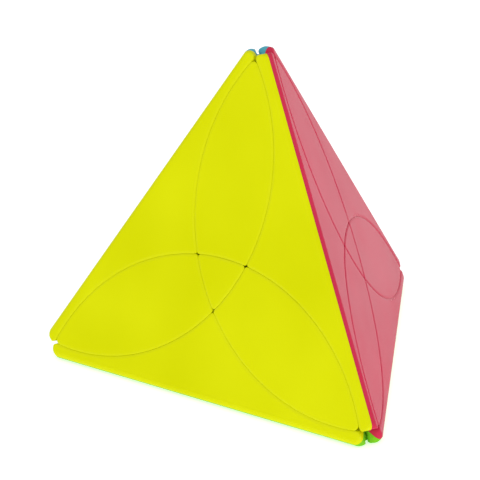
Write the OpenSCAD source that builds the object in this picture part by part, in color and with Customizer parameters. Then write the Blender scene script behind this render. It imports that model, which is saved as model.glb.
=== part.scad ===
// Pyramid turning puzzle. Six layers turn about the six lines from the core to the middles of
// the edges. Each cut is a ball centred on one of those lines, so every face shows three petals,
// a small three-sided centre and three edge pieces.
//
// Every piece is drawn once, in a cube frame: the pyramid's corners lie at (1,1,1), (1,-1,-1),
// (-1,1,-1) and (-1,-1,1) times half_cube, and the turning axes are +-X, +-Y and +-Z.
// place() turns it to one of its twelve places and stands the pyramid on its green face.
// Origin: the middle of the green face. +Z is up, and the yellow face looks towards -Y.

/* [Pyramid] */
// Length of an edge, measured to the sharp corners where the flat faces would meet
edge_len = 108; // [104:1:112]
// Radius that rounds each long edge
edge_round = 1.74; // [1.5:0.02:2.1]

/* [Turning cuts] */
// Distance from the core to the centre of a cutting ball, as a share of the edge length
ball_share = 0.51; // [0.508:0.001:0.512]
// Radius of a cutting ball, as a share of the edge length
ball_r_share = 0.4693; // [0.468:0.0001:0.4705]
// Running gap between neighbouring pieces
gap = 0.2; // [0.16:0.02:0.24]

/* [Shells] */
// Wall of the coloured shells and caps
wall = 1.8; // [1.6:0.1:1.9]
// Radius of the ball face where the coloured shells meet the inner pieces
split_r = 17; // [16.8:0.1:17.2]
// Glue line between a shell and its inner piece, and between an edge piece's two shells
glue = 0.04; // [0.02:0.01:0.06]

/* [Mechanism] */
// Radius of the ball face that the feet turn under
hook_r = 14; // [13.8:0.1:14.2]
// Half-width of the slot that the feet leave round each edge stem
slot_half = 3.5; // [3.4:0.05:3.6]
// Radius of the core ball
core_r = 8.9; // [8.7:0.05:8.95]
// Radius of the six stubs that stand out of the core ball
stub_r = 2.6; // [2.4:0.1:2.8]
// Radius of the stem under each edge piece
stem_r = 3.25; // [3.1:0.05:3.25]
// Outer radius of the tube that holds the screw head and spring
tube_r = 4.9; // [4.7:0.1:4.9]
// Bore of that tube
tube_bore_r = 3.3; // [3.2:0.05:3.4]

/* [Screws and springs] */
// Radius of the screw shaft
shaft_r = 1.2; // [1.1:0.05:1.25]
// Radial clearance between the shaft and an edge piece's stem
shaft_fit = 0.08; // [0.05:0.01:0.1]
// Radius of the screw head and of the washer
head_r = 2.9; // [2.8:0.05:2.95]
// Height of the screw head
head_h = 1.9; // [1.6:0.1:2.2]
// Turns of wire in a spring
spring_turns = 5; // [4:1:6]
// Radius of the spring wire
wire_r = 0.3; // [0.25:0.05:0.35]

/* [Hidden] */
faces = 180;
half_cube = edge_len / sqrt(8);
face_dist = edge_len / sqrt(24);
ball_dist = ball_share * edge_len;
ball_r = ball_r_share * edge_len;
half_gap = gap / 2;
face_tilt = acos(-1 / sqrt(3));
huge = edge_len;

// The rounded edge's centre line lies this far from the core, and the rounding starts above it.
half_dihedral = acos(1 / 3) / 2;
round_x = half_cube - edge_round / sin(half_dihedral);
round_start = round_x + edge_round * sin(half_dihedral);
round_grow = 0.05;

foot_in = core_r + gap;
foot_out = hook_r - half_gap;
skirt_in = hook_r + half_gap;
neck_in = hook_r - 1;
neck_out = hook_r + 1;
stub_x = 9.5;
stem_x = stub_x + gap;
tube_floor = hook_r + 2;
tube_top = 27;
thread_x = 4.2;
screw_end = 5;
head_x = 21.6;
washer_h = 0.5;
recess_w = 0.7;
recess_len = 3.4;
recess_h = 1.1;
boss_r = 4.3;
boss_top = 19.5;
centre_wall = 1.5;

spring_low = tube_floor + wire_r + glue;
spring_high = head_x - washer_h - wire_r - glue;
coil_r = 2.2;
wire_sides = 6;
turn_steps = 12;
spring_steps = spring_turns * turn_steps;

FACE = ["green", "red", "blue", "yellow"];
CORNER = ["top", "left", "right", "back"];
TINT = [[0.40, 0.80, 0.10], [0.86, 0.18, 0.33], [0.35, 0.66, 0.72], [0.88, 0.90, 0.04]];
DARK = [0.16, 0.17, 0.18];
STEEL = [0.72, 0.73, 0.75];

// A place is [c, s]: first a half turn s (0 to 3), then c steps of X to Y to Z to X.
PLACES = [for (c = [0:2]) for (s = [0:3]) [c, s]];
EDGES = [for (c = [0:2]) for (s = [0, 2]) [c, s]];
CENTRES = [for (s = [0:3]) [0, s]];
CORNERS = [[1, 1, 1], [1, -1, -1], [-1, 1, -1], [-1, -1, 1]];

function step(i, c) = i == 0 ? 0 : 1 + (i - 1 + c) % 3;
function corner(p) = step(p[1], p[0]);
function face(p) = step(3 - p[1], p[0]);
function edge_ends(p) = [step(p[1], p[0]), step([1, 0, 3, 2][p[1]], p[0])];
function edge_name(p) = str(CORNER[min(edge_ends(p))], "_", CORNER[max(edge_ends(p))]);
function shell_name(p) = str("shell_", edge_name(p), "_", FACE[face(p)]);
function hub_name(p) = str("hub_", edge_name(p));
function petal_name(p) = str("petal_", FACE[face(p)], "_", CORNER[corner(p)]);
function foot_name(p) = str("foot_", FACE[face(p)], "_", CORNER[corner(p)]);
function centre_name(p) = str("centre_", FACE[face(p)]);
function plug_name(p) = str("centre_foot_", FACE[face(p)]);

// ---- places ----

// Stands the cube frame on the green face, with the top corner up.
module stand() {
    a = sqrt(1 / 2);
    b = sqrt(1 / 6);
    c = sqrt(1 / 3);
    translate([0, 0, face_dist])
        multmatrix([[-a, a, 0, 0], [-b, -b, 2 * b, 0], [c, c, c, 0]])
            children();
}

module cycle(c) {
    m = c == 1 ? [[0, 0, 1, 0], [1, 0, 0, 0], [0, 1, 0, 0]]
      : c == 2 ? [[0, 1, 0, 0], [0, 0, 1, 0], [1, 0, 0, 0]]
      : [[1, 0, 0, 0], [0, 1, 0, 0], [0, 0, 1, 0]];
    multmatrix(m)
        children();
}

module place(p) {
    sign = CORNERS[p[1]];
    stand()
        cycle(p[0])
            multmatrix([[sign[0], 0, 0, 0], [0, sign[1], 0, 0], [0, 0, sign[2], 0]])
                children();
}

// ---- cutting shapes ----

module ball(axis, r) {
    translate(axis * ball_dist)
        sphere(r = r, $fn = faces);
}

module round_core(r) {
    sphere(r = r, $fn = faces);
}

// Everything on the core's side of the plane of the yellow face, moved in by inset.
module under_face(inset) {
    rotate([0, face_tilt, 45])
        translate([-huge, -huge, face_dist - inset - 2 * huge])
            cube(2 * huge);
}

// The yellow face's half of an edge piece, from the plane through the edge and the core.
module yellow_half(inset) {
    rotate([-45, 0, 0])
        translate([-huge, inset, -huge])
            cube(2 * huge);
}

module rounding_cutter() {
    difference() {
        translate([round_start, -huge, -huge])
            cube(2 * huge);
        translate([round_x, 0, 0])
            rotate([-45, 0, 0])
                cylinder(r = edge_round + round_grow, h = 2 * huge, center = true, $fn = faces);
    }
}

// The space of the +X edge piece, inset from all its cuts.
module edge_space(inset) {
    difference() {
        ball([1, 0, 0], ball_r - half_gap - inset);
        for (axis = [[0, 1, 0], [0, -1, 0], [0, 0, 1], [0, 0, -1]])
            ball(axis, ball_r + half_gap + inset);
    }
}

// The space of the petal between the +X and +Y layers.
module petal_space(inset) {
    difference() {
        intersection() {
            ball([1, 0, 0], ball_r - half_gap - inset);
            ball([0, 1, 0], ball_r - half_gap - inset);
        }
        for (axis = [[0, 0, 1], [0, 0, -1]])
            ball(axis, ball_r + half_gap + inset);
    }
}

// The space of the centre that the +X, +Y and -Z layers share.
module centre_space(inset) {
    intersection() {
        ball([1, 0, 0], ball_r - half_gap - inset);
        ball([0, 1, 0], ball_r - half_gap - inset);
        ball([0, 0, -1], ball_r - half_gap - inset);
    }
}

// A box between two opposite corners, given as one low and one high value per axis.
module span_box(low, high) {
    translate(low)
        cube(high - low);
}

// ---- core, screws, washers and springs ----

module core() {
    color(DARK)
        difference() {
            union() {
                round_core(core_r);
                for (p = EDGES)
                    place_flat(p)
                        rotate([0, 90, 0])
                            cylinder(r = stub_r, h = stub_x, $fn = faces);
            }
            for (p = EDGES)
                place_flat(p)
                    translate([thread_x, 0, 0])
                        rotate([0, 90, 0])
                            cylinder(r = shaft_r + glue, h = stub_x, $fn = faces);
        }
}

// Turns a piece drawn along +X to another axis, in the cube frame.
module place_flat(p) {
    sign = CORNERS[p[1]];
    cycle(p[0])
        multmatrix([[sign[0], 0, 0, 0], [0, sign[1], 0, 0], [0, 0, sign[2], 0]])
            children();
}

module screw() {
    color(STEEL)
        difference() {
            union() {
                translate([screw_end, 0, 0])
                    rotate([0, 90, 0])
                        cylinder(r = shaft_r, h = head_x + 0.1 - screw_end, $fn = faces);
                translate([head_x, 0, 0])
                    rotate([0, 90, 0])
                        cylinder(r = head_r, h = head_h, $fn = faces);
            }
            for (turn = [0, 90])
                rotate([turn, 0, 0])
                    translate([head_x + head_h - recess_h, -recess_len / 2, -recess_w / 2])
                        cube([2 * recess_h, recess_len, recess_w]);
        }
}

module washer() {
    color(STEEL)
        translate([head_x - washer_h - glue / 2, 0, 0])
            rotate([0, 90, 0])
                difference() {
                    cylinder(r = head_r, h = washer_h, $fn = faces);
                    translate([0, 0, -1])
                        cylinder(r = shaft_r + glue, h = washer_h + 2, $fn = faces);
                }
}

function coil_point(i, j) =
    let (
        turn = 360 * i / turn_steps,
        side = 360 * j / wire_sides,
        reach = coil_r + wire_r * cos(side),
        rise = spring_low + (spring_high - spring_low) * i / spring_steps
    )
    [rise + wire_r * sin(side), reach * cos(turn), reach * sin(turn)];

module spring() {
    points = [
        for (i = [0:spring_steps]) for (j = [0:wire_sides - 1]) coil_point(i, j)
    ];
    sides = [
        for (i = [0:spring_steps - 1]) for (j = [0:wire_sides - 1])
            let (a = i * wire_sides + j, b = i * wire_sides + (j + 1) % wire_sides)
            each [[a, b, b + wire_sides], [a, b + wire_sides, a + wire_sides]]
    ];
    last = spring_steps * wire_sides;
    ends = [
        [for (j = [wire_sides - 1:-1:0]) j],
        [for (j = [0:wire_sides - 1]) last + j]
    ];
    color(STEEL)
        polyhedron(points = points, faces = concat(sides, ends), convexity = 8);
}

// ---- edge pieces ----

// The inner half of an edge piece: skirt, stem and the tube for its screw.
module hub() {
    color(DARK)
        difference() {
            union() {
                difference() {
                    intersection() {
                        round_core(split_r);
                        edge_space(0);
                    }
                    round_core(skirt_in);
                }
                translate([stem_x, 0, 0])
                    rotate([0, 90, 0])
                        cylinder(r = stem_r, h = skirt_in + 0.4 - stem_x, $fn = faces);
                translate([tube_floor - 1, 0, 0])
                    rotate([0, 90, 0])
                        cylinder(r = tube_r, h = tube_top - tube_floor + 1, $fn = faces);
            }
            translate([stem_x - 1, 0, 0])
                rotate([0, 90, 0])
                    cylinder(r = shaft_r + shaft_fit, h = tube_top, $fn = faces);
            translate([tube_floor, 0, 0])
                rotate([0, 90, 0])
                    cylinder(r = tube_bore_r, h = tube_top, $fn = faces);
        }
}

// One coloured half of an edge piece: the half on the yellow face of the +X edge.
module edge_shell(tint) {
    color(tint)
        difference() {
            intersection() {
                edge_space(0);
                under_face(0);
                yellow_half(glue / 2);
            }
            intersection() {
                edge_space(wall);
                under_face(wall);
                yellow_half(-1);
            }
            round_core(split_r + glue);
            rounding_cutter();
        }
}

// ---- petals ----

module petal_cap(tint) {
    color(tint)
        difference() {
            intersection() {
                petal_space(0);
                under_face(0);
            }
            intersection() {
                petal_space(wall);
                under_face(wall);
            }
            round_core(split_r + glue);
        }
}

module petal_foot(tint) {
    color(tint)
        union() {
            difference() {
                intersection() {
                    petal_space(0);
                    round_core(split_r);
                }
                round_core(skirt_in);
            }
            difference() {
                intersection() {
                    petal_space(0);
                    foot_box(slot_half - half_gap);
                    round_core(neck_out);
                }
                round_core(neck_in);
            }
            difference() {
                intersection() {
                    foot_box(slot_half - half_gap);
                    round_core(foot_out);
                }
                round_core(foot_in);
            }
            rotate([0, 0, 45])
                translate([neck_out, 0, 0])
                    rotate([0, 90, 0])
                        cylinder(r = boss_r, h = boss_top - neck_out, $fn = faces);
        }
}

// The slot-sided block that a petal's foot is cut from.
module foot_box(half) {
    low = slot_half + half_gap;
    span_box([low, low, -half], [huge, huge, half]);
}

// ---- centres ----

module centre_cap(tint) {
    color(tint)
        difference() {
            intersection() {
                centre_space(0);
                under_face(0);
            }
            intersection() {
                centre_space(centre_wall);
                under_face(centre_wall);
            }
            round_core(split_r + glue);
        }
}

module centre_foot(tint) {
    low = slot_half + half_gap;
    color(tint)
        union() {
            difference() {
                intersection() {
                    centre_space(0);
                    round_core(split_r);
                }
                round_core(neck_in);
            }
            difference() {
                intersection() {
                    span_box([low, low, -huge], [huge, huge, -low]);
                    round_core(foot_out);
                }
                round_core(foot_in);
            }
        }
}

// ---- the whole puzzle ----

stand() core();
for (p = EDGES) place(p) screw();  // screws
for (p = EDGES) place(p) washer();  // washers
for (p = EDGES) place(p) spring();  // springs
for (p = EDGES) {
    place(p) hub();
}
for (p = PLACES) {
    place(p) edge_shell(TINT[face(p)]);
    place(p) petal_cap(TINT[face(p)]);
    place(p) petal_foot(TINT[face(p)]);
}
for (p = CENTRES) {
    place(p) centre_cap(TINT[face(p)]);
    place(p) centre_foot(TINT[face(p)]);
}
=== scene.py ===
"""Shells, caps and finishes of a pyramid turning puzzle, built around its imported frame.

Every outer piece is drawn once, in a cube frame in millimetres, and then turned to its
place. In the cube frame the pyramid's corners point along (1,1,1), (1,-1,-1), (-1,1,-1)
and (-1,-1,1), the turning axes are the six half axes, and the yellow face looks along
(1,1,-1).
"""

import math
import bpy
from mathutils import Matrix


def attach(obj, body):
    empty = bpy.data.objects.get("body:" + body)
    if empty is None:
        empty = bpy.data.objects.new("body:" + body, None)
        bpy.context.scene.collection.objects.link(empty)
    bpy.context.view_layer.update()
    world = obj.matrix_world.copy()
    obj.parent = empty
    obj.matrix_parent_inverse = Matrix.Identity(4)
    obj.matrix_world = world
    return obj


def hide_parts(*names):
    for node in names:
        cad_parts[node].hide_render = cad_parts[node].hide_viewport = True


bl_info = {
    "name": "Pyramid turning puzzle",
    "version": (1, 0, 0),
    "blender": (4, 5, 0),
    "location": "3D View > Sidebar > Puzzle",
    "description": "Builds the moulded shells, caps and finishes of a pyramid turning puzzle",
    "category": "Add Mesh",
}

import bmesh
import bpy
from bpy.props import FloatProperty, FloatVectorProperty, IntProperty, PointerProperty
from bpy.types import Operator, Panel, PropertyGroup
from mathutils import Matrix, Vector

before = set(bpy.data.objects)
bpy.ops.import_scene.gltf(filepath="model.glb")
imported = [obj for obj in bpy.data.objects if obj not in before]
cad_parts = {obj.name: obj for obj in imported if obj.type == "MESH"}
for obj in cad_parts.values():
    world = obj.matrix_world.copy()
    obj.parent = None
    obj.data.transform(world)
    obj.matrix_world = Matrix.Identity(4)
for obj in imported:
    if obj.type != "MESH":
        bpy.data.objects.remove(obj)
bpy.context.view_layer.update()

MM = 0.001

FACES = ["green", "red", "blue", "yellow"]
CORNERS = ["top", "left", "right", "back"]
SIGNS = [(1, 1, 1), (1, -1, -1), (-1, 1, -1), (-1, -1, 1)]
OTHER_ENDS = [1, 0, 3, 2]
CYCLES = [
    Matrix(((1, 0, 0), (0, 1, 0), (0, 0, 1))),
    Matrix(((0, 0, 1), (1, 0, 0), (0, 1, 0))),
    Matrix(((0, 1, 0), (0, 0, 1), (1, 0, 0))),
]

NORMAL = Vector((1, 1, -1)).normalized()
PETAL_ALONG = Vector((1, 1, 2)).normalized()
PETAL_ACROSS = Vector((1, -1, 0)).normalized()
EDGE_ALONG = Vector((2, -1, 1)).normalized()
EDGE_ACROSS = Vector((0, -1, -1)).normalized()
SEAM_NORMAL = Vector((0, 1, -1)).normalized()

# Which side of a cutting ball a piece is on.
INSIDE = 1
OUTSIDE = -1

# Rows of points over a rim, down a wall and across an underside.
RIM_STEPS = 4
RIM_TURN = math.radians(60)
WALL_STEPS = 20
UNDERSIDE_STEPS = 4
UNDERSIDE_SHARES = (0.33, 0.66)

# Lengths and tolerances of the skins, in millimetres. The curve of a petal's lowest cut
# fades from its underside over the sag length.
WALL_DEPTH_STEP = 0.25
SAG_LENGTH = 12.0
NO_ROOM = 1e-9
SEAM_TOLERANCE = 1e-4

# Tolerances of a finished piece, in metres, and the angle from which an edge is sharp.
WELD_DISTANCE = 2e-8
SHORTEST_EDGE = 1e-8
SHARP_ANGLE = math.radians(38)

# Noise scales of the finishes, in waves to a metre.
PAPER_SCALE = 30
DRIFT_SCALE = 42
SINK_SCALE = 70
SMEAR_SCALE = 95
PATCH_SCALE = 260
CLOUD_SCALE = 600
GRAIN_SCALE = 2600
MARK_SCALE = 5200

# Tints: what a colour is multiplied by, and what is then added to it.
DEEP_TINT = (0.955, 0)
PALE_TINT = (1.035, 0.002)
WORN_TINT = (0.97, 0.008)
DULL_TINT = (0.82, 0)
FIBRE_TINT = (0.985, 0)

# Plastic: how worn its rims are in patches, and what smears and wear add to its roughness.
PLASTIC_IOR = 1.5
PLASTIC_SPECULAR = 0.033
LEAST_WORN, MOST_WORN = 0.15, 0.6
SMEAR_LESS, SMEAR_MORE = 0.035, 0.05
WORN_ROUGHNESS = 0.12
INNER_GRAIN = 3.0

# Relief: depth in metres, and strength.
SINK_RELIEF = (0.0004, 0.06)
GRAIN_RELIEF = (0.00002, 0.12)
MARK_RELIEF = (0.00001, 0.25)

STEEL_SMOOTHEST, STEEL_ROUGHEST = 0.24, 0.4
PAPER_ROUGHNESS = 0.9
PAPER_SPECULAR = 0.1
WHITE = (1, 1, 1, 1)

# The stage, in metres. A light has a name, a place, a size and the setting of its power.
FLOOR_REACH = 12.0
FLOOR_DROP = 0.0002
LIGHT_TARGET = Vector((0, 0, 0.03))
LIGHTS = [
    ("front_light", (-0.35, -0.9, 0.75), 0.9, "key_power"),
    ("side_light", (0.8, -0.5, 0.35), 0.8, "side_power"),
    ("top_light", (0.15, 0.1, 1.1), 1.2, "top_power"),
]
ROOM_LIGHT = 0.6

# The camera's sensor, in millimetres, and the nearest thing it sees, in metres.
SENSOR_WIDTH = 36
NEAREST_VIEW = 0.01


# ---- settings ----


class PuzzleSizes(PropertyGroup):
    edge_length: FloatProperty(
        name="Edge length",
        description="Length of an edge, to the sharp corners where the flat faces would meet",
        default=0.108,
        unit="LENGTH",
        precision=4,
    )
    edge_radius: FloatProperty(
        name="Edge radius",
        description="Radius that rounds each long edge",
        default=0.00174,
        unit="LENGTH",
        precision=5,
    )
    ball_share: FloatProperty(
        name="Ball distance",
        description="How far out a cutting ball's middle lies, as a share of the edge length",
        default=0.51,
        precision=4,
    )
    ball_radius_share: FloatProperty(
        name="Ball radius",
        description="Radius of a cutting ball, as a share of the edge length",
        default=0.4693,
        precision=4,
    )
    gap: FloatProperty(
        name="Visible gap",
        description="Space seen between neighbouring pieces",
        default=0.00004,
        unit="LENGTH",
        precision=5,
    )
    glue: FloatProperty(
        name="Glue line",
        description="Space between two half shells, and between a shell and its inner piece",
        default=0.00004,
        unit="LENGTH",
        precision=5,
    )
    split_radius: FloatProperty(
        name="Split radius",
        description="Radius of the ball face where the shells meet the inner pieces",
        default=0.017,
        unit="LENGTH",
        precision=4,
    )
    rim_width: FloatProperty(
        name="Rim width",
        description="Width of the eased rim of each piece along its cuts",
        default=0.00075,
        unit="LENGTH",
        precision=5,
    )
    rim_depth: FloatProperty(
        name="Rim depth",
        description="How far the eased rim falls below the face",
        default=0.0002,
        unit="LENGTH",
        precision=5,
    )
    corner_radius: FloatProperty(
        name="Corner radius",
        description="Radius of the piece corners, seen from in front of their face",
        default=0.00077,
        unit="LENGTH",
        precision=5,
    )
    tip_radius: FloatProperty(
        name="Tip radius",
        description="Radius of the tips at the puzzle's corners, seen from in front",
        default=0.0013,
        unit="LENGTH",
        precision=5,
    )
    end_radius: FloatProperty(
        name="End radius",
        description="Radius that rounds the pointed ends of each edge piece",
        default=0.0016,
        unit="LENGTH",
        precision=5,
    )
    side_steps: IntProperty(
        name="Steps along a cut",
        description="Number of straight steps that make up one long curved cut",
        default=40,
        min=8,
    )
    corner_steps: IntProperty(
        name="Steps round a corner",
        description="Number of straight steps round a piece corner; an even number",
        default=6,
        min=4,
    )
    end_steps: IntProperty(
        name="Steps along an end",
        description="Number of straight steps along the rounded end of an edge piece",
        default=10,
        min=4,
    )


class PuzzleFinishes(PropertyGroup):
    yellow: FloatVectorProperty(
        name="Yellow",
        description="Colour of the yellow plastic",
        default=(0.73, 0.765, 0.001),
        subtype="COLOR",
        min=0,
        max=1,
    )
    red: FloatVectorProperty(
        name="Red",
        description="Colour of the red plastic",
        default=(0.64, 0.034, 0.085),
        subtype="COLOR",
        min=0,
        max=1,
    )
    blue: FloatVectorProperty(
        name="Blue",
        description="Colour of the blue plastic",
        default=(0.10, 0.44, 0.56),
        subtype="COLOR",
        min=0,
        max=1,
    )
    green: FloatVectorProperty(
        name="Green",
        description="Colour of the green plastic",
        default=(0.21, 0.62, 0.018),
        subtype="COLOR",
        min=0,
        max=1,
    )
    dark: FloatVectorProperty(
        name="Inner plastic",
        description="Colour of the core and of the hubs under the edge pieces",
        default=(0.035, 0.038, 0.042),
        subtype="COLOR",
        min=0,
        max=1,
    )
    steel: FloatVectorProperty(
        name="Steel",
        description="Colour of the screws, washers and springs",
        default=(0.62, 0.63, 0.66),
        subtype="COLOR",
        min=0,
        max=1,
    )
    gloss_roughness: FloatProperty(
        name="Shell roughness",
        description="Roughness of the glossy outer plastic",
        default=0.2,
        min=0,
        max=1,
        subtype="FACTOR",
    )
    satin_roughness: FloatProperty(
        name="Inner roughness",
        description="Roughness of the satin inner plastic",
        default=0.46,
        min=0,
        max=1,
        subtype="FACTOR",
    )


class PuzzleStage(PropertyGroup):
    floor_colour: FloatVectorProperty(
        name="Floor",
        description="Colour of the pale floor and backdrop",
        default=(0.86, 0.86, 0.86),
        subtype="COLOR",
        min=0,
        max=1,
    )
    floor_glow: FloatProperty(
        name="Floor glow",
        description="Light that the floor and backdrop give off, as a light table does",
        default=0.55,
        min=0,
    )
    key_power: FloatProperty(
        name="Key light",
        description="Power of the large soft light in front",
        default=1.5,
        min=0,
        unit="POWER",
    )
    top_power: FloatProperty(
        name="Top light",
        description="Power of the large soft light overhead",
        default=1.2,
        min=0,
        unit="POWER",
    )
    side_power: FloatProperty(
        name="Side light",
        description="Power of the soft light on the right",
        default=1.9,
        min=0,
        unit="POWER",
    )
    camera_place: FloatVectorProperty(
        name="Camera place",
        description="Where the camera stands",
        default=(0.351464, -0.472603, 0.279027),
        subtype="TRANSLATION",
        unit="LENGTH",
        precision=4,
    )
    camera_turn: FloatVectorProperty(
        name="Camera turn",
        description="How the camera is turned",
        default=tuple(math.radians(v) for v in (67.219784, 2.148515, 36.414813)),
        subtype="EULER",
        unit="ROTATION",
        precision=4,
    )
    camera_lens: FloatProperty(
        name="Camera lens",
        description="Focal length on a sensor 36 mm wide",
        default=194.961,
        unit="CAMERA",
    )


# ---- places ----


def step(index, cycle):
    """The corner or face that a cycle of the axes takes this one to."""
    return 0 if index == 0 else 1 + (index - 1 + cycle) % 3


PLACES = [(cycle, turn) for cycle in range(3) for turn in range(4)]
CENTRE_PLACES = [(0, turn) for turn in range(4)]


def face_of(place):
    """The face that a piece in this place lies on."""
    return FACES[step(3 - place[1], place[0])]


def corner_of(place):
    """The corner that a petal in this place points to."""
    return CORNERS[step(place[1], place[0])]


def edge_of(place):
    """The edge that a half shell in this place lies along, named by its two corners."""
    cycle, turn = place
    ends = [step(turn, cycle), step(OTHER_ENDS[turn], cycle)]
    return "_".join(CORNERS[i] for i in sorted(ends))


def placing(place, face_distance):
    """Turns a piece from the cube frame to its place, in metres, green face down."""
    cycle, turn = place
    a, b, c = math.sqrt(1 / 2), math.sqrt(1 / 6), math.sqrt(1 / 3)
    stand = Matrix(((-a, a, 0), (-b, -b, 2 * b), (c, c, c)))
    turned = stand @ CYCLES[cycle] @ Matrix.Diagonal(Vector(SIGNS[turn]))
    raised = Matrix.Translation((0, 0, face_distance))
    return Matrix.Scale(MM, 4) @ raised @ turned.to_4x4()


# ---- outlines of the pieces in the plane of a face ----


def crossing(a, radius_a, b, radius_b, near):
    """The point nearest to near where two circles cross."""
    apart = (b - a).length
    along = (apart**2 + radius_a**2 - radius_b**2) / (2 * apart)
    across = math.sqrt(max(radius_a**2 - along**2, 0))
    u = (b - a) / apart
    v = Vector((-u.y, u.x))
    crossings = [a + u * along + v * side * across for side in (1, -1)]
    return min(crossings, key=lambda p: (p - near).length)


def arc(middle, start, end, count):
    """Points of an arc taken the short way round, without its last point."""
    first = math.atan2(start.y - middle.y, start.x - middle.x)
    last = math.atan2(end.y - middle.y, end.x - middle.x)
    turn = (last - first + math.pi) % (2 * math.pi) - math.pi
    radius = (start - middle).length
    angles = [first + turn * i / count for i in range(count)]
    return [middle + radius * Vector((math.cos(t), math.sin(t))) for t in angles]


class Cuts:
    """The cutting balls and all that is rounded, in millimetres in the cube frame."""

    def __init__(self, sizes):
        edge = sizes.edge_length / MM
        self.face = edge / math.sqrt(24)
        self.reach = sizes.ball_share * edge
        self.ball = sizes.ball_radius_share * edge
        self.half_gap = sizes.gap / MM / 2
        # How far above a face, and how far aside of its middle, a ball's middle lies.
        self.rise = self.reach / math.sqrt(3) - self.face
        self.shift = self.reach * math.sqrt(2 / 3)
        self.core = (sizes.split_radius + sizes.glue) / MM
        self.seam = sizes.glue / MM / 2
        self.rim_width = sizes.rim_width / MM
        self.rim_depth = sizes.rim_depth / MM
        self.corner = sizes.corner_radius / MM
        self.tip_corner = sizes.tip_radius / MM
        self.edge_radius = sizes.edge_radius / MM
        # The rounded edge: how far out its axis lies, how far it turns and where it ends.
        half_dihedral = math.acos(1 / 3) / 2
        self.round_x = edge / math.sqrt(8) - self.edge_radius / math.sin(half_dihedral)
        self.round_turn = math.atan(math.sqrt(2))
        self.round_end = edge / math.sqrt(12) - self.edge_radius / math.tan(half_dihedral)
        self.side_steps = sizes.side_steps
        self.corner_steps = sizes.corner_steps
        self.end_steps = sizes.end_steps
        # The rounded ends: a ring turned about the edge's axis, where its middle lies and
        # where it leaves the ball.
        self.end = sizes.end_radius / MM
        self.end_out = self.round_x + self.edge_radius - self.end
        to_ring = self.own_ball(INSIDE) - self.end
        self.end_share = (self.end_out - self.reach) / to_ring
        self.end_around = to_ring * math.sqrt(1 - self.end_share**2)
        # Where two balls cross on a face: at a petal's tip and at a centre's corner.
        crossing_root = math.sqrt(4 * (self.ball**2 - self.rise**2) - 3 * self.shift**2)
        self.tip = (self.shift + crossing_root) / 2
        self.middle = (crossing_root - self.shift) / 2

    def own_ball(self, side):
        """The radius of a cutting ball, half a gap less inside, half a gap more outside."""
        return self.ball - side * self.half_gap

    def edge_reach(self, out, side, reach_squared):
        """How far an edge piece reaches along its edge, at a place out from the core and to
        the side of its seam."""
        share = (out - self.end_out) / self.end
        if share <= self.end_share:
            return math.sqrt(reach_squared - (self.reach - out) ** 2 - side**2)
        slope = math.sqrt(max(1 - share**2, 0))
        inset = self.own_ball(INSIDE) - math.sqrt(reach_squared)
        inset = inset * slope if share > 0 else inset / slope
        return math.sqrt((self.end_around + self.end * slope - inset) ** 2 - side**2)

    def circle(self, degrees, side, depth):
        """The circle that a ball leaves at a depth under the face, and the piece's side."""
        radius = math.sqrt(self.own_ball(side) ** 2 - (self.rise + depth) ** 2)
        return polar(self.shift, degrees), radius, side

    def corner_hubs(self, circles, nears, radii):
        """The middles of the small arcs that round the corners between the circles."""
        hubs = []
        for i, (near, radius) in enumerate(zip(nears, radii)):
            (a, ra, ka), (b, rb, kb) = circles[i], circles[(i + 1) % len(circles)]
            hubs.append(crossing(a, ra - ka * radius, b, rb - kb * radius, near))
        return hubs

    def bottom(self, s, w, ball):
        """How deep a petal's column at (s, w) meets the core ball or this one."""
        start = self.face * NORMAL + s * PETAL_ALONG + w * PETAL_ACROSS
        depths = []
        for middle, radius in ((Vector(), self.core), ball):
            near = start - middle
            middle_depth = near.dot(NORMAL)
            inner = middle_depth**2 - near.length_squared + radius**2
            if inner > 0 and middle_depth > 0:
                depths.append(middle_depth - math.sqrt(inner))
        return min(depths)


def polar(radius, degrees):
    """A point in the plane of a face, this far from its middle."""
    turn = math.radians(degrees)
    return radius * Vector((math.cos(turn), math.sin(turn)))


def touch(circle, hub, inset):
    """Where a corner's small arc meets one of its circles."""
    middle, radius, side = circle
    return middle + (hub - middle).normalized() * (radius - side * inset)


def closed_outline(cuts, circles, nears, radii, inset):
    """The outline bounded by these circles, with rounded corners, moved in by inset."""
    hubs = cuts.corner_hubs(circles, nears, radii)
    points = []
    for i, circle in enumerate(circles):
        after = circles[(i + 1) % len(circles)]
        start, end = touch(circle, hubs[i - 1], inset), touch(circle, hubs[i], inset)
        points += arc(circle[0], start, end, cuts.side_steps)
        points += arc(hubs[i], end, touch(after, hubs[i], inset), cuts.corner_steps)
    return points


def lift(cuts, along, across, points, depth):
    """Takes outline points to the cube frame, at a depth under the yellow face."""
    return [(cuts.face - depth) * NORMAL + p.x * along + p.y * across for p in points]


def petal_outline(cuts, depth, inset=0):
    """The petal's outline, from the middle of its tip round to there again."""
    circles = [
        cuts.circle(-60, INSIDE, depth),
        cuts.circle(180, OUTSIDE, depth),
        cuts.circle(60, INSIDE, depth),
    ]
    nears = [polar(cuts.middle, 60), polar(cuts.middle, -60), polar(cuts.tip, 0)]
    radii = [cuts.corner, cuts.corner, cuts.tip_corner]
    points = closed_outline(cuts, circles, nears, radii, inset)
    half = cuts.corner_steps // 2
    return lift(cuts, PETAL_ALONG, PETAL_ACROSS, points[-half:] + points[:-half], depth)


def centre_outline(cuts, depth, inset=0):
    """The outline of a centre, all the way round."""
    circles = [cuts.circle(t, INSIDE, depth) for t in (-60, 60, 180)]
    nears = [polar(cuts.middle, t) for t in (180, -60, 60)]
    points = closed_outline(cuts, circles, nears, [cuts.corner] * 3, inset)
    return lift(cuts, PETAL_ALONG, PETAL_ACROSS, points, depth)


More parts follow.
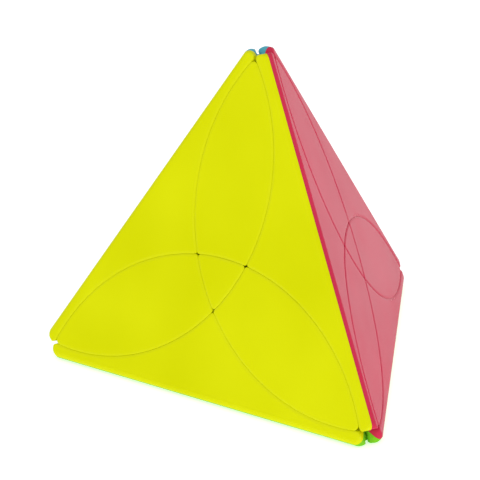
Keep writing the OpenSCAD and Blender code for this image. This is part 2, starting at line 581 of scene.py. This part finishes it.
def edge_outline(cuts, depth, inset=0):
    """The outline of an edge piece's yellow half, from one end of its seam to the other."""
    own = cuts.circle(0, INSIDE, depth)
    circles = [own, cuts.circle(120, OUTSIDE, depth), cuts.circle(-120, OUTSIDE, depth), own]
    nears = [polar(cuts.tip, 60), polar(cuts.middle, 0), polar(cuts.tip, -60)]
    radii = [cuts.tip_corner, cuts.corner, cuts.tip_corner]
    hubs = cuts.corner_hubs(circles, nears, radii)
    reach = own[1] - inset
    width = math.sqrt(reach**2 - (own[0].x - cuts.round_end) ** 2)
    starts = [Vector((cuts.round_end, width)), Vector((cuts.round_end, -width))]
    reach_3d = reach**2 + (cuts.rise + depth) ** 2
    ends = arc(own[0], starts[0], touch(own, hubs[0], inset), cuts.end_steps)
    flat = [end_point(cuts, p, depth, reach_3d) for p in ends]
    for i, hub in enumerate(hubs):
        after = circles[i + 1]
        start = touch(after, hub, inset)
        flat += arc(hub, touch(circles[i], hub, inset), start, cuts.corner_steps)
        if after is not own:
            flat += arc(after[0], start, touch(after, hubs[i + 1], inset), cuts.side_steps)
    ends = arc(own[0], touch(own, hubs[2], inset), starts[1], cuts.end_steps) + [starts[1]]
    flat += [end_point(cuts, p, depth, reach_3d) for p in ends]
    first = edge_rounding(cuts, depth, reach_3d, 1)
    last = edge_rounding(cuts, depth, reach_3d, -1)
    return first + lift(cuts, EDGE_ALONG, EDGE_ACROSS, flat, depth) + last[::-1]


def end_point(cuts, point, depth, reach_squared):
    """Moves a point of an edge piece's own cut in to where the piece's end is rounded."""
    at = (cuts.face - depth) * NORMAL + point.x * EDGE_ALONG
    length = cuts.edge_reach(at.x, at.dot(SEAM_NORMAL), reach_squared)
    return Vector((point.x, math.copysign(length, point.y)))


def edge_rounding(cuts, depth, reach_squared, way):
    """The outline's points on the rounded edge, from the seam to the flat face."""
    shell = min(depth, cuts.rim_depth)
    radius = cuts.edge_radius - shell
    first = math.asin(cuts.seam / radius)
    points = []
    for i in range(cuts.corner_steps):
        turn = first + (cuts.round_turn - first) * i / cuts.corner_steps
        out = cuts.round_x + radius * math.cos(turn) - (depth - shell) * NORMAL.x
        side = radius * math.sin(turn) - (depth - shell) * NORMAL.dot(SEAM_NORMAL)
        length = cuts.edge_reach(out, side, reach_squared)
        points.append(Vector((out, 0, 0)) + side * SEAM_NORMAL + way * length * EDGE_ACROSS)
    return points


# ---- skins ----


class Skin:
    """A closed mesh in the making, with a wear value on each point."""

    def __init__(self):
        self.mesh = bmesh.new()
        self.wear = self.mesh.verts.layers.float.new("rim_wear")

    def ring(self, points, wear=0.0):
        """Adds a row of points."""
        made = [self.mesh.verts.new(p) for p in points]
        for vertex in made:
            vertex[self.wear] = wear
        return made

    def face(self, *corners):
        """Adds a face, unless it is there already or has fewer than three corners."""
        corners = [c for i, c in enumerate(corners) if c is not corners[i - 1]]
        if len(corners) > 2 and self.mesh.faces.get(corners) is None:
            self.mesh.faces.new(corners)

    def bridge(self, upper, lower, closed=True):
        """Joins two rows of points with four-sided faces."""
        count = len(upper) if closed else len(upper) - 1
        for i in range(count):
            j = (i + 1) % len(upper)
            self.face(upper[i], upper[j], lower[j], lower[i])


def rim_rings(skin, cuts, outline):
    """Rows of points over the eased rim, from the flat face to the wall."""
    rows = []
    for i in range(RIM_STEPS + 1):
        turn = RIM_TURN * i / RIM_STEPS
        inset = cuts.rim_width * (1 - math.sin(turn) / math.sin(RIM_TURN))
        depth = cuts.rim_depth * (1 - math.cos(turn)) / (1 - math.cos(RIM_TURN))
        wear = math.sin(math.pi * i / RIM_STEPS)
        rows.append(skin.ring(outline(cuts, depth, inset), wear))
    return rows


def wall_rings(skin, cuts, outline, room):
    """Rows of points down the cut walls. room() is the space left under a point."""
    path = [outline(cuts, cuts.rim_depth)]
    ends = [0.0 if room(p) < NO_ROOM else None for p in path[0]]
    while None in ends:
        path.append(outline(cuts, cuts.rim_depth + WALL_DEPTH_STEP * len(path)))
        for k, end in enumerate(ends):
            if end is None and room(path[-1][k]) <= 0:
                above, below = room(path[-2][k]), room(path[-1][k])
                ends[k] = len(path) - 2 + above / (above - below)
    rows = []
    for i in range(1, WALL_STEPS + 1):
        points = []
        for k, end in enumerate(ends):
            whole, part = divmod(end * i / WALL_STEPS, 1)
            upper = path[int(whole)][k]
            lower = path[min(int(whole) + 1, len(path) - 1)][k]
            points.append(upper.lerp(lower, part))
        rows.append(skin.ring(points))
    return rows


def petal_skin(cuts):
    """A solid petal cap: flat face, eased rim, cut walls and the ball-shaped underside."""
    skin = Skin()
    upper_ball = (Vector((0, 0, cuts.reach)), cuts.own_ball(OUTSIDE))

    def room(p):
        return min(p.length - cuts.core, (p - upper_ball[0]).length - upper_ball[1])

    rows = rim_rings(skin, cuts, petal_outline)
    rows += wall_rings(skin, cuts, petal_outline, room)
    skin.face(*rows[0])
    for upper, lower in zip(rows, rows[1:]):
        skin.bridge(upper, lower)
    rim = rows[-1]
    count = len(rim)
    first_low = cuts.corner_steps // 2 + cuts.side_steps + cuts.corner_steps
    low_row = rim[first_low : first_low + cuts.side_steps + 1]
    low_end = low_row[0].co.dot(PETAL_ALONG)
    sag = [v.co.dot(PETAL_ALONG) - low_end for v in low_row]
    before = [rim[0]] * (cuts.side_steps + 1)
    for k in range(1, first_low):
        start, end = rim[k], rim[count - k]
        fade = max(0.0, 1 - (start.co.dot(PETAL_ALONG) - low_end) / SAG_LENGTH) ** 2
        points = []
        for i in range(1, cuts.side_steps):
            flat = start.co.lerp(end.co, i / cuts.side_steps)
            s, w = flat.dot(PETAL_ALONG) + fade * sag[i], flat.dot(PETAL_ACROSS)
            depth = cuts.bottom(s, w, upper_ball)
            points.append((cuts.face - depth) * NORMAL + s * PETAL_ALONG + w * PETAL_ACROSS)
        row = [start] + skin.ring(points) + [end]
        skin.bridge(before, row, closed=False)
        before = row
    skin.bridge(before, low_row, closed=False)
    return skin


def centre_skin(cuts):
    """A solid three-sided centre cap, hollowed below by the core ball."""
    skin = Skin()

    def room(p):
        return p.length - cuts.core

    rows = rim_rings(skin, cuts, centre_outline)
    rows += wall_rings(skin, cuts, centre_outline, room)
    skin.face(*rows[0])
    pole = NORMAL * cuts.core
    for share in UNDERSIDE_SHARES:
        lower = [v.co.lerp(pole, share).normalized() * cuts.core for v in rows[-1]]
        rows.append(skin.ring(lower))
    for upper, lower in zip(rows, rows[1:]):
        skin.bridge(upper, lower)
    skin.bridge(rows[-1], skin.ring([pole]) * len(rows[-1]))
    return skin


def edge_skin(cuts):
    """The yellow half of an edge piece: face, rounded edge, rims, walls and seam."""
    skin = Skin()

    def room(p):
        return min(p.length - cuts.core, p.dot(SEAM_NORMAL) - cuts.seam)

    rims = rim_rings(skin, cuts, edge_outline)
    walls = wall_rings(skin, cuts, edge_outline, room)
    rows = rims + walls
    for upper, lower in zip(rows, rows[1:]):
        skin.bridge(upper, lower, closed=False)
    top, bottom = rows[0], rows[-1]
    turns = cuts.corner_steps
    skin.face(*top[turns:-turns])
    for i in range(turns):
        skin.face(top[i], top[i + 1], top[-2 - i], top[-1 - i])

    # The wall leaves the seam at the crease where the seam, the core ball and a cut meet.
    off_seam = cuts.seam + SEAM_TOLERANCE
    on_core = [k for k, v in enumerate(bottom) if v.co.dot(SEAM_NORMAL) > off_seam]
    crease, far_crease = on_core[0] - 1, on_core[-1] + 1
    z = (cuts.own_ball(OUTSIDE) ** 2 - cuts.reach**2 - cuts.core**2) / (2 * cuts.reach)
    y = z + math.sqrt(2) * cuts.seam
    x = math.sqrt(cuts.core**2 - y**2 - z**2)
    bottom[crease].co = (x, y, z)
    bottom[far_crease].co = (x, -z, -y)

    spread = math.atan2(bottom[crease].co.dot(EDGE_ACROSS), x)
    reach = math.sqrt(cuts.core**2 - cuts.seam**2)
    seam_points = []
    for i in range(1, len(on_core) + 1):
        turn = spread * (1 - 2 * i / (len(on_core) + 1))
        flat = Vector((math.cos(turn), 0, 0)) + math.sin(turn) * EDGE_ACROSS
        seam_points.append(reach * flat + cuts.seam * SEAM_NORMAL)
    seam_row = skin.ring(seam_points)

    shares = [i / UNDERSIDE_STEPS for i in range(1, UNDERSIDE_STEPS)]
    columns = [[bottom[crease]] * (UNDERSIDE_STEPS + 1)]
    for start, k in zip(seam_row, on_core):
        end = bottom[k]
        between = [start.co.lerp(end.co, share).normalized() * cuts.core for share in shares]
        columns.append([start] + skin.ring(between) + [end])
    columns.append([bottom[far_crease]] * (UNDERSIDE_STEPS + 1))
    for left, right in zip(columns, columns[1:]):
        skin.bridge(left, right, closed=False)

    seam_face = [row[0] for row in rims] + bottom[1 : crease + 1] + seam_row
    seam_face += bottom[far_crease:-1] + [row[-1] for row in rims[::-1]]
    skin.face(*seam_face)
    return skin


def make_piece(skin, name, place, cuts, material):
    """Turns a copy of the skin to its place and gives it its finish."""
    mesh = bpy.data.meshes.new(name)
    turned = skin.mesh.copy()
    bmesh.ops.transform(turned, matrix=placing(place, cuts.face), verts=turned.verts)
    bmesh.ops.remove_doubles(turned, verts=turned.verts, dist=WELD_DISTANCE)
    bmesh.ops.dissolve_degenerate(turned, edges=turned.edges, dist=SHORTEST_EDGE)
    bmesh.ops.recalc_face_normals(turned, faces=turned.faces)
    open_edges = [e for e in turned.edges if len(e.link_faces) != 2]
    if open_edges:
        raise RuntimeError(f"{name} isn't closed: {len(open_edges)} open edges")
    turned.to_mesh(mesh)
    turned.free()
    mesh.shade_smooth()
    mesh.set_sharp_from_angle(angle=SHARP_ANGLE)
    mesh.materials.append(material)
    piece = bpy.data.objects.new(name, mesh)
    bpy.context.scene.collection.objects.link(piece)
    even = piece.modifiers.new("even_shading", "WEIGHTED_NORMAL")
    even.keep_sharp = True
    return piece


# ---- finishes ----


def new_material(name):
    """A new material, with its tree, its shader and coordinates fixed to the piece."""
    material = bpy.data.materials.new(name)
    material.use_nodes = True
    tree = material.node_tree
    at = tree.nodes.new("ShaderNodeTexCoord").outputs["Object"]
    return material, tree, tree.nodes["Principled BSDF"], at


def noise(tree, coordinates, scale, detail):
    """A noise texture fixed to the piece."""
    node = tree.nodes.new("ShaderNodeTexNoise")
    node.inputs["Scale"].default_value = scale
    node.inputs["Detail"].default_value = detail
    tree.links.new(coordinates, node.inputs["Vector"])
    return node.outputs["Fac"]


def tinted(colour, tint):
    """The colour with a tint, as a plain list."""
    factor, added = tint
    return [min(v * factor + added, 1) for v in colour]


def spread_out(tree, value, low, high, start=0.3, end=0.7):
    """Maps a part of a noise or another value, by default its middle, to a range."""
    node = tree.nodes.new("ShaderNodeMapRange")
    node.inputs["From Min"].default_value = start
    node.inputs["From Max"].default_value = end
    node.inputs["To Min"].default_value = low
    node.inputs["To Max"].default_value = high
    tree.links.new(value, node.inputs["Value"])
    return node.outputs["Result"]


def combine(tree, operation, first, second):
    """Adds or multiplies two values."""
    node = tree.nodes.new("ShaderNodeMath")
    node.operation = operation
    tree.links.new(first, node.inputs[0])
    tree.links.new(second, node.inputs[1])
    return node.outputs[0]


def blend_colours(tree, factor, first, second):
    """Mixes two colours, each a colour or the output of another node."""
    node = tree.nodes.new("ShaderNodeMix")
    node.data_type = "RGBA"
    tree.links.new(factor, node.inputs["Factor"])
    for socket, colour in ((node.inputs[6], first), (node.inputs[7], second)):
        if isinstance(colour, bpy.types.NodeSocket):
            tree.links.new(colour, socket)
        else:
            socket.default_value = (*colour, 1)
    return node.outputs[2]


def add_bump(tree, height, relief, share=1, before=None):
    """Small relief, with a share of its strength, on top of the relief before it."""
    distance, strength = relief
    node = tree.nodes.new("ShaderNodeBump")
    node.inputs["Distance"].default_value = distance
    node.inputs["Strength"].default_value = strength * share
    tree.links.new(height, node.inputs["Height"])
    if before is not None:
        tree.links.new(before, node.inputs["Normal"])
    return node.outputs["Normal"]


def moulded_plastic(name, colour, roughness, grain=1.0):
    """Moulded plastic: slow drifts of tint, fine grain, faint sink and rubbed rims."""
    material = bpy.data.materials.get(name)
    if material is not None:
        return material
    material, tree, shader, at = new_material(name)
    shader.inputs["IOR"].default_value = PLASTIC_IOR
    shader.inputs["Specular IOR Level"].default_value = PLASTIC_SPECULAR

    drift = spread_out(tree, noise(tree, at, DRIFT_SCALE, detail=1.5), 0, 1)
    base = blend_colours(tree, drift, tinted(colour, DEEP_TINT), tinted(colour, PALE_TINT))

    rim = tree.nodes.new("ShaderNodeAttribute")
    rim.attribute_name = "rim_wear"
    patches = noise(tree, at, PATCH_SCALE, detail=3)
    patches = spread_out(tree, patches, LEAST_WORN, MOST_WORN)
    wear = combine(tree, "MULTIPLY", rim.outputs["Fac"], patches)
    worn = blend_colours(tree, wear, base, tinted(colour, WORN_TINT))
    tree.links.new(worn, shader.inputs["Base Color"])

    smears = noise(tree, at, SMEAR_SCALE, detail=3)
    smears = spread_out(tree, smears, roughness - SMEAR_LESS, roughness + SMEAR_MORE)
    rubbed = spread_out(tree, wear, 0, WORN_ROUGHNESS, start=0, end=1)
    tree.links.new(combine(tree, "ADD", smears, rubbed), shader.inputs["Roughness"])

    sink = add_bump(tree, noise(tree, at, SINK_SCALE, detail=1), SINK_RELIEF)
    fine = noise(tree, at, GRAIN_SCALE, detail=2)
    relief = add_bump(tree, fine, GRAIN_RELIEF, share=grain, before=sink)
    tree.links.new(relief, shader.inputs["Normal"])
    return material


def plated_steel(name, colour):
    """Zinc-plated steel with fine turning marks and cloudy plating."""
    material, tree, shader, at = new_material(name)
    shader.inputs["Metallic"].default_value = 1.0
    cloud = noise(tree, at, CLOUD_SCALE, detail=4)
    plating = blend_colours(tree, cloud, tinted(colour, DULL_TINT), colour)
    tree.links.new(plating, shader.inputs["Base Color"])
    marks = noise(tree, at, MARK_SCALE, detail=2)
    polish = spread_out(tree, marks, STEEL_SMOOTHEST, STEEL_ROUGHEST)
    tree.links.new(polish, shader.inputs["Roughness"])
    tree.links.new(add_bump(tree, marks, MARK_RELIEF), shader.inputs["Normal"])
    return material


def shell_plastic(colour_name):
    """The glossy plastic of one face."""
    finishes = bpy.context.scene.puzzle_finishes
    colour = getattr(finishes, colour_name)
    return moulded_plastic(f"{colour_name}_shell_plastic", colour, finishes.gloss_roughness)


def finish_node(node, material):
    """Gives a frame node this finish in each of its material slots."""
    for material_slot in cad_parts[node].material_slots:
        material_slot.material = material


# ---- operators ----


class PUZZLE_OT_edge_shells(Operator):
    """Builds the two coloured half shells of each of the six edge pieces"""

    bl_idname = "puzzle.edge_shells"
    bl_label = "Edge shells"

    def execute(self, context):
        cuts = Cuts(context.scene.puzzle_sizes)
        skin = edge_skin(cuts)
        for place in PLACES:
            edge, face = edge_of(place), face_of(place)
            name = f"half_shell_{edge}_{face}"
            piece = make_piece(skin, name, place, cuts, shell_plastic(face))
            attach(piece, f"edge_{edge}")
            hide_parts(f"shell_{edge}_{face}")
        return {"FINISHED"}


class PUZZLE_OT_petal_caps(Operator):
    """Builds the twelve pointed petal caps, three on each face"""

    bl_idname = "puzzle.petal_caps"
    bl_label = "Petal caps"

    def execute(self, context):
        cuts = Cuts(context.scene.puzzle_sizes)
        skin = petal_skin(cuts)
        for place in PLACES:
            face, corner = face_of(place), corner_of(place)
            name = f"petal_cap_{face}_{corner}"
            piece = make_piece(skin, name, place, cuts, shell_plastic(face))
            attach(piece, f"petal_{face}_{corner}")
            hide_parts(f"petal_{face}_{corner}")
        return {"FINISHED"}


class PUZZLE_OT_centre_caps(Operator):
    """Builds the small three-sided cap in the middle of each face"""

    bl_idname = "puzzle.centre_caps"
    bl_label = "Centre caps"

    def execute(self, context):
        cuts = Cuts(context.scene.puzzle_sizes)
        skin = centre_skin(cuts)
        for place in CENTRE_PLACES:
            face = face_of(place)
            piece = make_piece(skin, f"centre_cap_{face}", place, cuts, shell_plastic(face))
            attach(piece, f"centre_{face}")
            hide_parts(f"centre_{face}")
        return {"FINISHED"}


class PUZZLE_OT_inner_finishes(Operator):
    """Gives the core, hubs, feet, screws, washers and springs their finishes"""

    bl_idname = "puzzle.inner_finishes"
    bl_label = "Inner finishes"

    def execute(self, context):
        finishes = context.scene.puzzle_finishes
        roughness = finishes.satin_roughness
        satin = moulded_plastic("inner_plastic", finishes.dark, roughness, grain=INNER_GRAIN)
        steel = plated_steel("plated_steel", finishes.steel)
        for node in ("screws", "washers", "springs"):
            finish_node(node, steel)
        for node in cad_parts:
            if node == "core" or node.startswith("hub_"):
                finish_node(node, satin)
        for place in PLACES:
            face = face_of(place)
            finish_node(f"foot_{face}_{corner_of(place)}", shell_plastic(face))
        for place in CENTRE_PLACES:
            face = face_of(place)
            finish_node(f"centre_foot_{face}", shell_plastic(face))
        return {"FINISHED"}


def soft_light(name, place, size, power):
    """A large square light aimed at the puzzle."""
    light = bpy.data.lights.new(name, "AREA")
    light.shape = "SQUARE"
    light.size = size
    light.energy = power
    lamp = bpy.data.objects.new(name, light)
    lamp.location = place
    aim = LIGHT_TARGET - Vector(place)
    lamp.rotation_euler = aim.to_track_quat("-Z", "Y").to_euler()
    bpy.context.scene.collection.objects.link(lamp)


def pale_surface(settings):
    """The floor's pale paper, which glows a little."""
    material, tree, shader, at = new_material("pale_stage")
    shader.inputs["Roughness"].default_value = PAPER_ROUGHNESS
    shader.inputs["Specular IOR Level"].default_value = PAPER_SPECULAR
    shader.inputs["Emission Color"].default_value = WHITE
    shader.inputs["Emission Strength"].default_value = settings.floor_glow
    colour = settings.floor_colour
    fibres = noise(tree, at, PAPER_SCALE, detail=3)
    paper = blend_colours(tree, fibres, tinted(colour, FIBRE_TINT), colour)
    tree.links.new(paper, shader.inputs["Base Color"])
    return material


class PUZZLE_OT_stage(Operator):
    """Lays the pale floor and sets the soft lights, the surroundings and the camera"""

    bl_idname = "puzzle.stage"
    bl_label = "Stage"

    def execute(self, context):
        scene = context.scene
        settings = scene.puzzle_stage
        floor_mesh = bpy.data.meshes.new("floor")
        sheet = bmesh.new()
        corners = [
            sheet.verts.new((x * FLOOR_REACH, y * FLOOR_REACH, 0))
            for x, y in ((-1, -1), (1, -1), (1, 1), (-1, 1))
        ]
        sheet.faces.new(corners)
        sheet.to_mesh(floor_mesh)
        sheet.free()
        floor = bpy.data.objects.new("floor", floor_mesh)
        floor.location.z = -FLOOR_DROP
        floor_mesh.materials.append(pale_surface(settings))
        scene.collection.objects.link(floor)

        for name, place, size, power in LIGHTS:
            soft_light(name, place, size, getattr(settings, power))

        world = bpy.data.worlds.new("pale_room")
        world.use_nodes = True
        sky = world.node_tree.nodes["Background"]
        sky.inputs["Color"].default_value = WHITE
        sky.inputs["Strength"].default_value = ROOM_LIGHT
        scene.world = world
        scene.view_settings.view_transform = "Standard"

        lens = bpy.data.cameras.new("camera")
        lens.sensor_width = SENSOR_WIDTH
        lens.lens = settings.camera_lens
        lens.clip_start = NEAREST_VIEW
        camera = bpy.data.objects.new("camera", lens)
        camera.location = settings.camera_place
        camera.rotation_euler = settings.camera_turn
        scene.collection.objects.link(camera)
        scene.camera = camera
        return {"FINISHED"}


# ---- panel and registration ----

STEPS = [
    PUZZLE_OT_stage,
    PUZZLE_OT_edge_shells,
    PUZZLE_OT_petal_caps,
    PUZZLE_OT_centre_caps,
    PUZZLE_OT_inner_finishes,
]


class PUZZLE_PT_panel(Panel):
    """Lists the puzzle's pieces and settings"""

    bl_idname = "PUZZLE_PT_panel"
    bl_label = "Pyramid turning puzzle"
    bl_space_type = "VIEW_3D"
    bl_region_type = "UI"
    bl_category = "Puzzle"

    def draw(self, context):
        scene = context.scene
        for group in (scene.puzzle_sizes, scene.puzzle_finishes, scene.puzzle_stage):
            column = self.layout.column()
            for name in group.bl_rna.properties.keys():
                if name not in ("rna_type", "name"):
                    column.prop(group, name)
        for operator in STEPS:
            self.layout.operator(operator.bl_idname)


GROUPS = {
    "puzzle_sizes": PuzzleSizes,
    "puzzle_finishes": PuzzleFinishes,
    "puzzle_stage": PuzzleStage,
}


def register():
    for group_name, group in GROUPS.items():
        bpy.utils.register_class(group)
        setattr(bpy.types.Scene, group_name, PointerProperty(type=group))
    for item in STEPS + [PUZZLE_PT_panel]:
        bpy.utils.register_class(item)


def unregister():
    for item in [PUZZLE_PT_panel] + STEPS[::-1]:
        bpy.utils.unregister_class(item)
    for group_name, group in GROUPS.items():
        delattr(bpy.types.Scene, group_name)
        bpy.utils.unregister_class(group)


def main():
    register()
    bpy.ops.puzzle.stage()
    bpy.ops.puzzle.edge_shells()
    bpy.ops.puzzle.petal_caps()
    bpy.ops.puzzle.centre_caps()
    bpy.ops.puzzle.inner_finishes()


if __name__ == "__main__":
    main()
